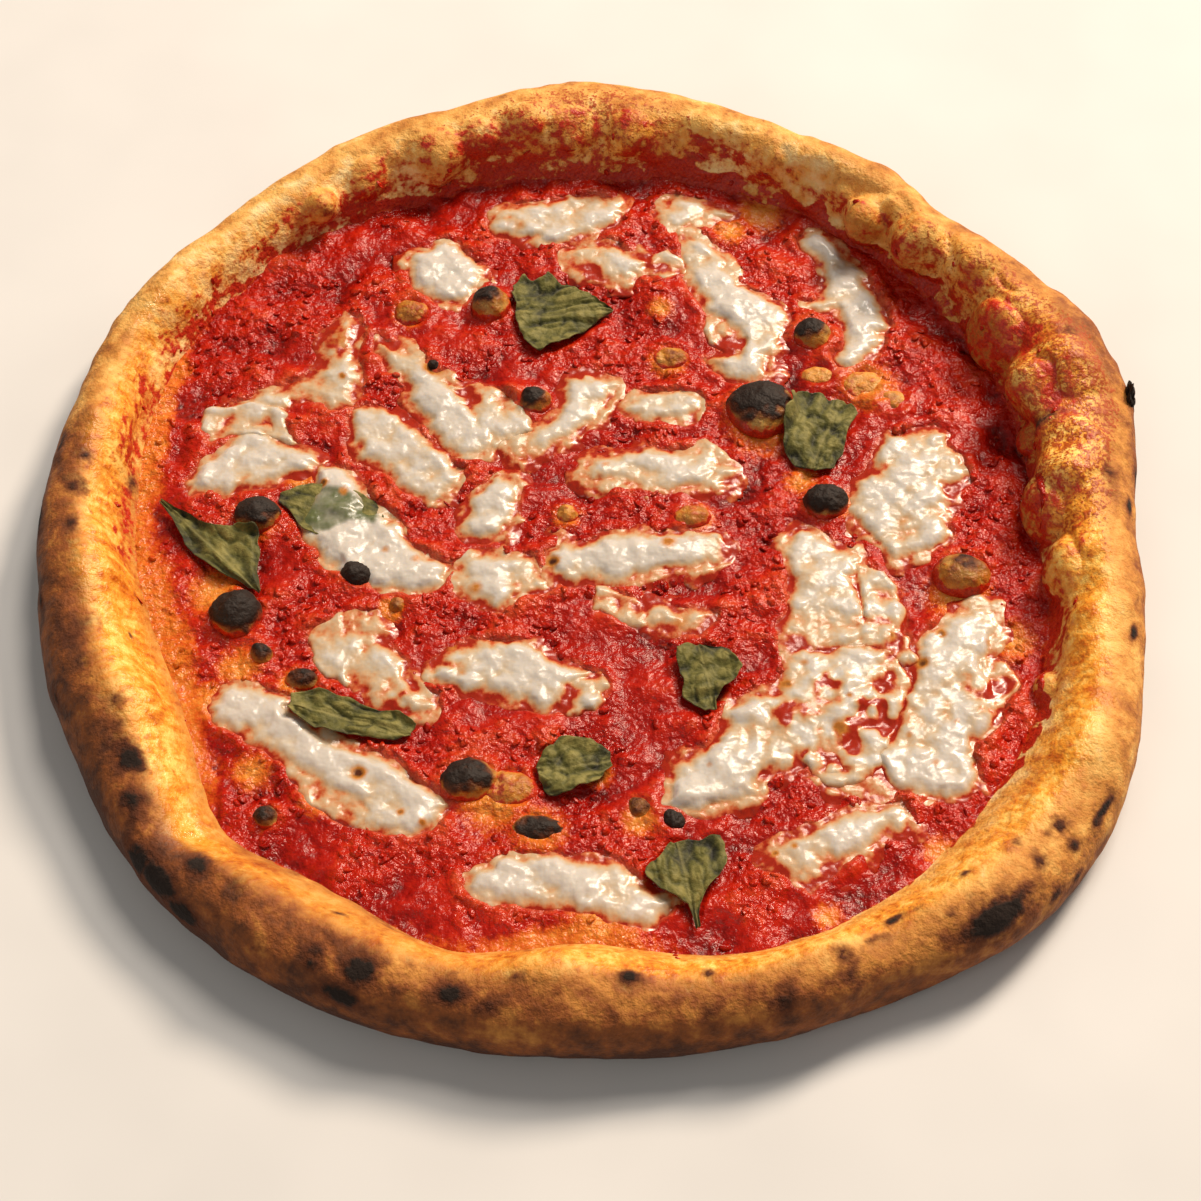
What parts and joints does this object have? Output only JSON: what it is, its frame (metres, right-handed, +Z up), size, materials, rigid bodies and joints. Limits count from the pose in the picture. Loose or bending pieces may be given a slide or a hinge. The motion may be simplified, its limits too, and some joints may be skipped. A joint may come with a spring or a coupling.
{
  "type": "margherita pizza",
  "caption": "Round hand-stretched pizza with a puffed, leopard-spotted rim, crushed tomato, melted mozzarella pieces and basil leaves.",
  "frame": {"origin": "middle of the flat underside, on the surface the pizza rests on", "axes": "+Z up out of the toppings, +Y towards the tallest, most sauced stretch of rim, +X towards the lobed stretch of rim"},
  "size_m": [0.3214, 0.3306, 0.0296],
  "materials": {
    "crust": "matte floury baked dough, oil-stained along the inner rim, charred in spots",
    "sauce": "wet crushed tomato pulp",
    "cheese": "glossy melted mozzarella, translucent where thin",
    "leaf": "dull dried leaf"
  },
  "bodies": {
    "root": {"dough": "crust", "tomato_sauce": "sauce", "mozzarella_01": "cheese", "mozzarella_02": "cheese", "mozzarella_03": "cheese", "mozzarella_04": "cheese", "mozzarella_05": "cheese", "mozzarella_06": "cheese", "mozzarella_07": "cheese", "mozzarella_08": "cheese", "mozzarella_09": "cheese", "mozzarella_10": "cheese", "mozzarella_11": "cheese", "mozzarella_12": "cheese", "mozzarella_13": "cheese", "mozzarella_14": "cheese", "mozzarella_15": "cheese", "mozzarella_16": "cheese", "mozzarella_17": "cheese", "mozzarella_18": "cheese", "mozzarella_19": "cheese", "mozzarella_20": "cheese", "mozzarella_21": "cheese", "mozzarella_22": "cheese", "mozzarella_23": "cheese", "mozzarella_24": "cheese", "mozzarella_25": "cheese", "mozzarella_26": "cheese", "mozzarella_27": "cheese", "mozzarella_28": "cheese", "basil_01": "leaf", "basil_02": "leaf", "basil_03": "leaf", "basil_04": "leaf", "basil_05": "leaf", "basil_06": "leaf", "basil_07": "leaf", "basil_08": "leaf"}
  },
  "joints": []
}
